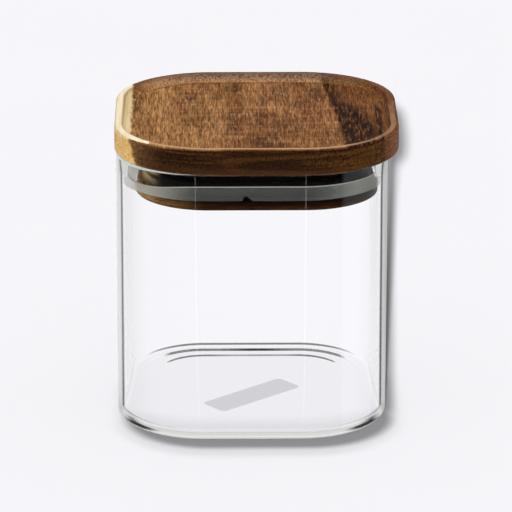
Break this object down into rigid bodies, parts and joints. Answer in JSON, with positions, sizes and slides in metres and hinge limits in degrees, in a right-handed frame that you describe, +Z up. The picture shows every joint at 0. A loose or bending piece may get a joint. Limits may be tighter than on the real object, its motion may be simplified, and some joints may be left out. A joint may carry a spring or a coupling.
{
  "type": "glass storage jar",
  "caption": "Square clear glass storage jar with rounded corners and a tray-topped wooden plug lid that seals on a soft ring.",
  "frame": {"origin": "on the surface the jar stands on, under the centre of the lid's plate, which is the middle of the whole part's outline", "axes": "+Z up through the lid, +X to the right and +Y away from the viewer of the picture, both square to the sides of the jar and the lid"},
  "size_m": [0.1044, 0.1044, 0.1125],
  "materials": {
    "clear_glass": "clear, smooth moulded soda-lime glass",
    "acacia_wood": "oiled, satin, with pale sapwood along one edge",
    "clear_silicone": "translucent, smooth moulded silicone",
    "label_paper": "plain matt label stock, bare"
  },
  "bodies": {
    "jar": {"glass_jar": "clear_glass", "base_label": "label_paper"},
    "lid": {"wood_lid": "acacia_wood", "seal_ring": "clear_silicone"}
  },
  "joints": [
    {"name": "lid_lift", "type": "slide", "parent": "jar", "child": "lid", "axis": [0, 0, 1], "range_m": [0, 0.12]}
  ]
}
